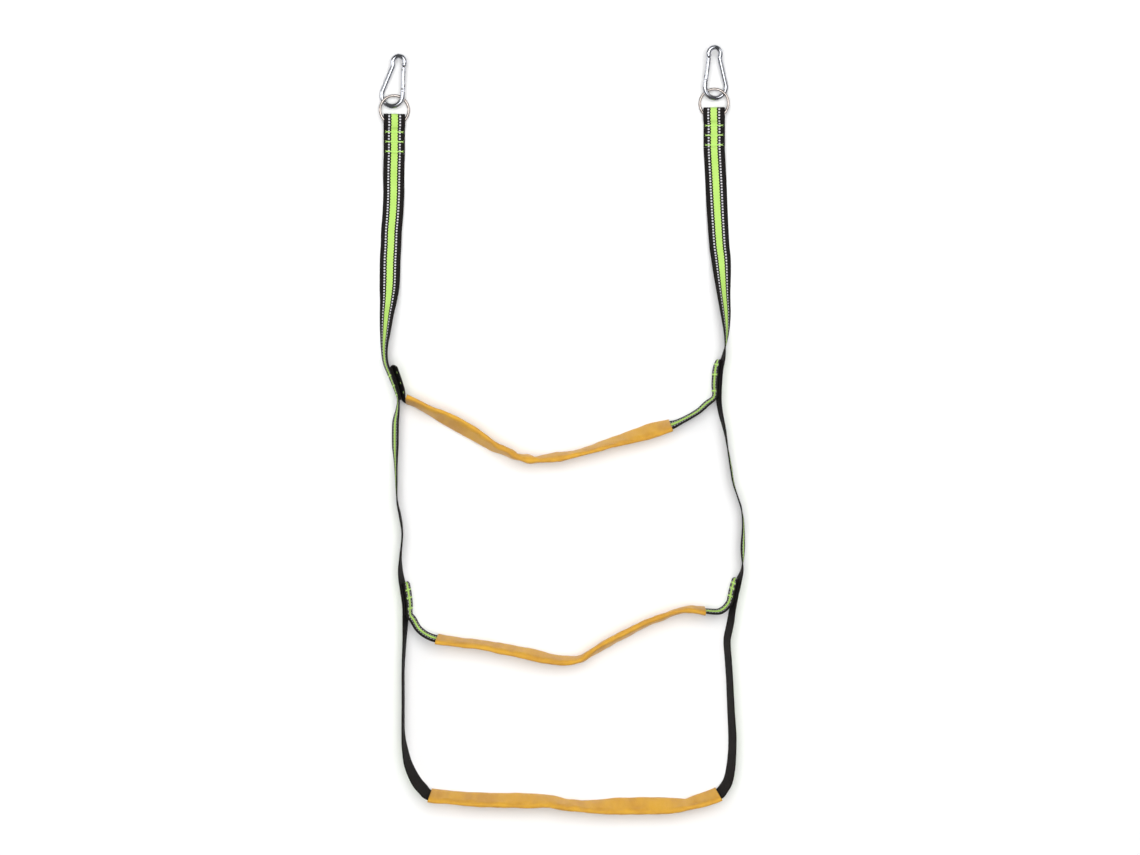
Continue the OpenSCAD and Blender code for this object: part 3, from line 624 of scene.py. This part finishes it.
def sleeve(name, frames, gathers, puffs, seed, node, body):
    """A limp tube of cloth round a rung. gathers are (share of its length, reach in mm) of its pinches, and
    puffs are (first share, last share, height in mm) of slack cloth on its front."""
    length = sum((b[0] - a[0]).length for a, b in zip(frames, frames[1:]))
    points, travelled = [], [0.0]
    for i, (place, along, across, front) in enumerate(frames):
        if i:
            travelled.append(travelled[-1] + (place - frames[i - 1][0]).length)
        at_mm = travelled[-1]
        near_end = min(at_mm, length - at_mm)
        for j in range(SLEEVE_POINTS):
            a = 2 * pi * j / SLEEVE_POINTS
            x = SLEEVE_W / 2 * copysign(abs(cos(a)) ** 0.55, cos(a))
            y = SLEEVE_T / 2 * copysign(abs(sin(a)) ** 0.75, sin(a))
            # The cloth is drawn in at its pinches, most on the side away from the floor.
            for share, reach in gathers:
                near = max(0.0, 1 - ((at_mm - share * length) / reach) ** 2)
                upper = 0.5 + 0.5 * copysign(1, across.z) * cos(a)
                x -= copysign(1, across.z) * GATHER_DEPTH * near * near * upper ** 2
                y *= 1 + 0.25 * near
            for first, last, height in puffs:
                share = (at_mm / length - first) / (last - first)
                if 0 < share < 1 and sin(a) > 0:
                    y += height * sin(pi * share) ** 0.6 * sin(a)
            y *= 1 + MOUTH_FLARE * exp(-near_end / MOUTH_REACH)
            # Slack cloth ripples across the flat, and along its two folded edges.
            calm = min(1.0, near_end / CALM_REACH)
            ripple = noise.noise(Vector((at_mm / 13, cos(a) * 1.4 + at_mm / 30, seed)))
            fine = noise.noise(Vector((at_mm / 5, cos(a) * 3 - at_mm / 11, seed + 7)))
            edge = noise.noise(Vector((at_mm / 17, cos(a), seed + 13)))
            y += calm * copysign(1, sin(a)) * (0.2 + 0.7 * ripple + 0.3 * fine) * abs(sin(a)) ** 0.5
            x += calm * copysign(1, cos(a)) * (0.2 + 0.7 * edge) * abs(cos(a))
            points.append(place + across * x + front * y)
    n = SLEEVE_POINTS
    faces, corners = [], []
    girth = 2 * SLEEVE_W
    for i in range(len(frames) - 1):
        for j in range(n):
            k = (j + 1) % n
            faces.append((i * n + j, (i + 1) * n + j, (i + 1) * n + k, i * n + k))
            for a, b in ((j, 0), (j, 1), (j + 1, 1), (j + 1, 0)):
                corners.append((a * girth / n, travelled[i + b]))
    piece = mesh_piece(name, points, faces, corners)
    wall = piece.modifiers.new("wall", "SOLIDIFY")
    wall.thickness = SLEEVE_WALL * MM
    wall.offset = -1
    deselect()
    piece.select_set(True)
    bpy.context.view_layer.objects.active = piece
    bpy.ops.object.modifier_apply(modifier="wall")
    paint(piece, sleeve_fabric)
    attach(piece, body)
    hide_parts(node)


def span(frames, first, a, b):
    """The frames of a rung's free part between two points of its route."""
    return frames[first + a * STEPS:first + b * STEPS + 1]


def drawn_back(frames, reach):
    """The same frames, with straight ones before them, as far as the reach and about 2 mm apart."""
    place, along, across, front = frames[0]
    count = round(reach / 2)
    return [(place - along * reach * (count - k) / count, along, across, front)
        for k in range(count)] + frames


sleeve("upper_rung_sleeve", drawn_back(span(upper_frames, upper_first, 0, 18), MOUTH_OFF_SEAM),
    [(0.36, 9), (0.43, 7), (0.49, 7), (0.93, 9)],
    [(0.2, 0.37, 1.2), (0.37, 0.435, 2.2), (0.435, 0.5, 2), (0.5, 0.7, 1)], 2.0,
    "upper_sleeve", "middle_section")
sleeve("middle_rung_sleeve", span(middle_frames, middle_first, 3, 21),
    [(0.24, 10), (0.47, 10), (0.53, 8), (0.84, 9)],
    [(0.1, 0.24, 1), (0.24, 0.47, 1.4), (0.53, 0.84, 1.4)], 11.0, "middle_sleeve", "lower_section")
sleeve("bottom_rung_sleeve", cut(len(LEFT_ROUTE), FIRST_RIGHT),
    [(0.42, 9), (0.5, 8), (0.91, 9)],
    [(0.1, 0.42, 1.4), (0.42, 0.5, 1.6), (0.5, 0.9, 1.2)], 23.0, "bottom_sleeve", "lower_section")

# ---- Bar tacks ----


def bar_tack(name):
    """One bar tack along X: two rows of close stitches that slant across each other, and two stray stitches
    at each end. A stitch is a ball 1 mm across, scaled to its width, length and height."""
    pitch = 0.5
    count = int(TACK_L / pitch) - 1
    stitches = []
    for lean, start, lift in ((14, 0.0, 0.12), (-14, pitch / 2, 0.2)):
        deselect()
        bpy.ops.mesh.primitive_uv_sphere_add(segments=8, ring_count=6, radius=0.5,
            location=(start - TACK_L / 2 + pitch, 0, lift), rotation=(0, 0, radians(lean)),
            scale=(0.42, 1.7, 0.5))
        row = active(name + "_row")
        settle(row)
        many = row.modifiers.new("many", "ARRAY")
        many.count = count
        many.use_relative_offset = False
        many.use_constant_offset = True
        many.constant_offset_displace = (pitch, 0, 0)
        bpy.ops.object.modifier_apply(modifier="many")
        stitches.append(row)
    for end, turn in ((-1, 35), (-1, -30), (1, 25), (1, -40)):
        deselect()
        bpy.ops.mesh.primitive_uv_sphere_add(segments=8, ring_count=6, radius=0.5,
            location=(end * TACK_L / 2, copysign(0.55, turn) * end, 0.12), rotation=(0, 0, radians(turn)),
            scale=(2.6, 0.42, 0.45))
        stitches.append(settle(active(name + "_stray")))
    made = joined(stitches, name)
    bpy.ops.object.shade_smooth()
    return made


pattern_tack = bar_tack("tack")


def tacks_on(name, faces, body, node):
    """A seam's bar tacks. Each face is (place, across, out), with out pointing away from the cloth."""
    copies = []
    for place, across, out in faces:
        copy = bpy.data.objects.new(name + "_tack", pattern_tack.data.copy())
        bpy.context.scene.collection.objects.link(copy)
        turn = Matrix((across, out.cross(across), out)).transposed().to_4x4()
        copy.data.transform(Matrix.Translation(place) @ turn)
        copy.data.transform(Matrix.Scale(MM, 4))
        copies.append(copy)
    piece = joined(copies, name)
    paint(piece, thread)
    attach(piece, body)
    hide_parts(node)


def seam_sides(seam, away, lean):
    """Both outer faces of a sewn rung end, at each of its bar tacks."""
    made = []
    for k in range(TACKS):
        place, along, across, front = side_at(seam[0] + (seam[1] - seam[0]) * (0.15 + 0.33 * k))
        made.append((place + front * WEBBING_T / 2, across, front))
        turn = Matrix.Rotation(radians(lean), 3, along)
        out = -(turn @ front)
        made.append((place - front * away + out * WEBBING_T / 2, turn @ across, out))
    return made


def loop_sides(ring_at, side):
    """Both outer faces of a ring's loop, at each of its bar tacks."""
    turn = Matrix.Rotation(RING_TILT * side, 3, "Y")
    across, out = turn @ Vector((side, 0, 0)), turn @ UP
    high = LOOP_TAIL_Z + WEBBING_T + LAYER_GAP + WEBBING_T / 2
    low = LOOP_TAIL_Z - WEBBING_T / 2
    made = []
    for k in range(TACKS):
        y = LOOP_TACK_Y - TACK_PITCH * k
        made.append((ring_at + turn @ Vector((0, y, high)), across, out))
        made.append((ring_at + turn @ Vector((0, y, low)), across, -out))
    return made


tacks_on("left_loop_tacks", loop_sides(LEFT_RING, 1), "upper_section", "left_loop_stitching")
tacks_on("right_loop_tacks", loop_sides(RIGHT_RING, -1), "upper_section", "right_loop_stitching")
for name, seam, away, lean, body in (
        ("left_upper_rung", LEFT_UPPER_SEAM, LEFT_UPPER_OPEN, LEFT_UPPER_LEAN, "middle_section"),
        ("right_upper_rung", RIGHT_UPPER_SEAM, OTHER_OPEN, 0, "middle_section"),
        ("left_middle_rung", LEFT_MIDDLE_SEAM, OTHER_OPEN, 0, "lower_section"),
        ("right_middle_rung", RIGHT_MIDDLE_SEAM, OTHER_OPEN, 0, "lower_section")):
    tacks_on(name + "_tacks", seam_sides(seam, away, lean), body, name + "_stitching")
bpy.data.objects.remove(pattern_tack)

# ---- Rings ----


def ring(side, ring_at, sign):
    """A round steel ring with a butt weld, tilted as it lies in its loop."""
    deselect()
    bpy.ops.mesh.primitive_torus_add(major_segments=120, minor_segments=24, major_radius=RING_R,
        minor_radius=RING_WIRE_R)
    piece = active(side + "_welded_ring")
    weld_at = Vector((RING_R * cos(WELD_ANGLE), RING_R * sin(WELD_ANGLE), 0))
    for vertex in piece.data.vertices:
        near = (vertex.co - weld_at).length / WELD_REACH
        if near < 1:
            on_wire = Vector((vertex.co.x, vertex.co.y, 0)).normalized() * RING_R
            vertex.co = on_wire + (vertex.co - on_wire) * (1 + WELD_RISE * (1 - near))
    bpy.ops.object.shade_smooth()
    tilt = Matrix.Rotation(RING_TILT * sign, 4, "Y")
    settle(piece, Matrix.Scale(MM, 4) @ Matrix.Translation(ring_at) @ tilt)
    paint(piece, nickel)
    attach(piece, side + "_ring_link")
    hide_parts(side + "_ring")


ring("left", LEFT_RING, 1)
ring("right", RIGHT_RING, -1)

# ---- Snap hooks ----

spine_up = Vector((sin(SPINE_LEAN), cos(SPINE_LEAN), 0))
spine_right = Vector((cos(SPINE_LEAN), -sin(SPINE_LEAN), 0))
spine_foot = Vector((-BEND_R * cos(SPINE_LEAN), BEND_R * sin(SPINE_LEAN), 0))
crown_at = Vector((BEND_R - CROWN_IN, CROWN_H, 0))
spine_up_to_crown = (crown_at - spine_foot).dot(spine_up)
spine_off_crown = (crown_at - spine_foot).dot(spine_right)
spine_l = spine_up_to_crown - ((CROWN_R + NECK_R) ** 2 - (spine_off_crown + NECK_R) ** 2) ** 0.5
neck_at = spine_foot + spine_up * spine_l - spine_right * NECK_R
neck_angle = atan2(neck_at.y - crown_at.y, neck_at.x - crown_at.x) % (2 * pi)
nose_at = crown_at + Vector((cos(NOSE_ANGLE), sin(NOSE_ANGLE), 0)) * CROWN_R
NOSE_D = GATE_D + 1
gate_top = nose_at.y - NOSE_D / 2 - 0.3


def hook_place(side):
    """The hook's own frame, with its origin at the wide bend's centre, in metres."""
    offset, turns, height = HOOKS[side]
    sign = 1 if side == "left" else -1
    ring_at = LEFT_RING if side == "left" else RIGHT_RING
    x, y, z = (radians(t) for t in turns)
    turn = Matrix.Rotation(z, 4, "Z") @ Matrix.Rotation(y, 4, "Y") @ Matrix.Rotation(x, 4, "X")
    place = Matrix.Translation((ring_at.x * sign + offset[0], ring_at.y + offset[1], height)) @ turn
    return Matrix.Scale(MM, 4) @ Matrix.Diagonal((sign, 1, 1, 1)) @ place


def box_piece(low, high, bevel):
    """A block between two corners, with its edges rounded."""
    low, high = Vector(low), Vector(high)
    deselect()
    bpy.ops.mesh.primitive_cube_add(size=1, location=(low + high) / 2, scale=high - low)
    piece = settle(active("block"))
    bpy.ops.object.mode_set(mode="EDIT")
    bpy.ops.mesh.select_all(action="SELECT")
    bpy.ops.mesh.bevel(offset=bevel, segments=3)
    bpy.ops.object.mode_set(mode="OBJECT")
    return piece


def subtract(piece, tools):
    """Cuts the tools out of a piece, and removes them."""
    deselect()
    bpy.context.view_layer.objects.active = piece
    for tool in tools:
        cutter = piece.modifiers.new("cut", "BOOLEAN")
        cutter.operation = "DIFFERENCE"
        cutter.solver = "EXACT"
        cutter.object = tool
        bpy.ops.object.modifier_apply(modifier="cut")
        bpy.data.objects.remove(tool)


def round_bar(d, length, place, rotation, vertices=48):
    deselect()
    bpy.ops.mesh.primitive_cylinder_add(vertices=vertices, radius=d / 2, depth=length, location=place,
        rotation=rotation)
    return settle(active("bar"))


def hook_wire():
    """The bent wire: from its tang down round the wide bend, up the spine, and over the crown to the nose."""
    deselect()
    bpy.ops.mesh.primitive_circle_add(vertices=40, radius=HOOK_WIRE_R, location=(BEND_R, WIRE_END_Y, 0),
        rotation=(pi / 2, 0, 0))
    wire = settle(active("wire"))
    bpy.ops.object.mode_set(mode="EDIT")
    bpy.ops.mesh.select_all(action="SELECT")
    bpy.ops.mesh.extrude_region_move(TRANSFORM_OT_translate={"value": (0, -WIRE_END_Y, 0)})
    bpy.ops.mesh.spin(steps=64, angle=pi + SPINE_LEAN, center=(0, 0, 0), axis=(0, 0, 1))
    bpy.ops.mesh.extrude_region_move(TRANSFORM_OT_translate={"value": tuple(spine_up * spine_l)})
    bpy.ops.mesh.spin(steps=20, angle=neck_angle - pi + SPINE_LEAN, center=neck_at, axis=(0, 0, -1))
    bpy.ops.mesh.spin(steps=64, angle=neck_angle - NOSE_ANGLE, center=crown_at, axis=(0, 0, 1))
    bpy.ops.mesh.fill_holes(sides=0)
    bpy.ops.mesh.select_all(action="SELECT")
    bpy.ops.mesh.remove_doubles(threshold=0.001)
    bpy.ops.mesh.normals_make_consistent(inside=False)
    bpy.ops.object.mode_set(mode="OBJECT")
    return wire


def hook_body(side):
    """The hook's wire with its ball nose, the tang that the gate turns on, and the tongue with its notch."""
    wire = hook_wire()
    deselect()
    bpy.ops.mesh.primitive_uv_sphere_add(segments=40, ring_count=24, radius=NOSE_D / 2, location=nose_at)
    nose = settle(active("nose"))
    tang = box_piece((BEND_R - 1.9, WIRE_END_Y - 1, -TANG_T / 2),
        (BEND_R + 1.9, PIVOT_Y + 2.3, TANG_T / 2), 0.25)
    tongue = box_piece((BEND_R - 1.6, gate_top - 4.2, -TANG_T / 2),
        (BEND_R + 2, nose_at.y, TANG_T / 2), 0.25)
    notch_y = gate_top - 2.6
    notch = box_piece((BEND_R - 4, notch_y - PIN_D / 2 - 0.35, -3),
        (BEND_R + PIN_D / 2 + 0.3, notch_y + PIN_D / 2 + 0.25, 3), 0.3)
    subtract(tongue, [notch])
    return joined([wire, nose, tang, tongue], side + "_bent_wire")


def gate(side):
    """The sprung gate: a round bar with a domed foot, slotted at both ends and bored for its spring."""
    length = gate_top - PIVOT_Y
    piece = round_bar(GATE_D, length, (BEND_R, PIVOT_Y + length / 2, 0), (pi / 2, 0, 0), 56)
    foot = round_bar(GATE_D, GATE_D, (BEND_R, PIVOT_Y, 0), (0, 0, 0), 56)
    lower = round_bar(GATE_D, GATE_D, (BEND_R, PIVOT_Y, 0), (pi / 2, 0, 0), 56)
    both = lower.modifiers.new("both", "BOOLEAN")
    both.operation = "INTERSECT"
    both.object = foot
    bpy.ops.object.modifier_apply(modifier="both")
    bpy.data.objects.remove(foot)
    both = piece.modifiers.new("both", "BOOLEAN")
    both.operation = "UNION"
    both.object = lower
    deselect()
    bpy.context.view_layer.objects.active = piece
    bpy.ops.object.modifier_apply(modifier="both")
    bpy.data.objects.remove(lower)
    subtract(piece, [
        box_piece((BEND_R - 5, PIVOT_Y - 5, -SLOT_W / 2), (BEND_R + 5, PIVOT_Y + 5, SLOT_W / 2), 0.2),
        box_piece((BEND_R - 5, gate_top - 5.4, -SLOT_W / 2), (BEND_R + 5, gate_top + 2, SLOT_W / 2), 0.2),
        round_bar(BORE_D, BORE_L, (BEND_R, BORE_Y, 0), (pi / 2, 0, 0), 32)])
    piece.name = side + "_gate_tube"
    return piece


def finish_metal(piece, side, material, body, node):
    """Softens the edges, puts a hook's piece in its place and hands it to its body."""
    deselect()
    piece.select_set(True)
    bpy.context.view_layer.objects.active = piece
    settle(piece, hook_place(side))
    if side == "right":
        bpy.ops.object.mode_set(mode="EDIT")
        bpy.ops.mesh.select_all(action="SELECT")
        bpy.ops.mesh.flip_normals()
        bpy.ops.object.mode_set(mode="OBJECT")
    bpy.ops.object.shade_smooth_by_angle(angle=radians(35))
    paint(piece, material)
    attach(piece, side + body)
    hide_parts(side + node)


def coil_spring(side):
    """A real coil in the gate's bore, eight turns of fine wire."""
    turns = 8
    wire_r = 0.2
    coil_r = 1.0
    deselect()
    bpy.ops.mesh.primitive_circle_add(vertices=8, radius=wire_r, location=(coil_r, 0, wire_r),
        rotation=(pi / 2, 0, 0))
    piece = settle(active(side + "_coil_spring"))
    screw = piece.modifiers.new("coil", "SCREW")
    screw.angle = 2 * pi
    screw.iterations = turns
    screw.screw_offset = (SPRING_TOP - SPRING_FOOT - 2 * wire_r) / turns
    screw.steps = screw.render_steps = 24
    bpy.ops.object.modifier_apply(modifier="coil")
    bpy.ops.object.mode_set(mode="EDIT")
    bpy.ops.mesh.select_all(action="SELECT")
    bpy.ops.mesh.fill_holes(sides=0)
    bpy.ops.mesh.select_all(action="SELECT")
    bpy.ops.mesh.normals_make_consistent(inside=False)
    bpy.ops.object.mode_set(mode="OBJECT")
    settle(piece, Matrix.Translation((BEND_R, SPRING_FOOT, 0)) @ Matrix.Rotation(-pi / 2, 4, "X"))
    return piece


def pressed_by_plunger(piece):
    """Gives a spring a mesh of its own; its shape stays as it is."""
    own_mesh(piece)


for side in ("left", "right"):
    finish_metal(hook_body(side), side, chrome, "_hook", "_hook_body")
    finish_metal(gate(side), side, chrome, "_gate_arm", "_gate")
    spring = coil_spring(side)
    finish_metal(spring, side, spring_steel, "_gate_arm", "_gate_spring")
    pressed_by_plunger(spring)
    for node, material in (("_gate_rivet", pin_steel), ("_latch_pin", pin_steel),
            ("_gate_plunger", spring_steel)):
        paint(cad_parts[side + node], material)
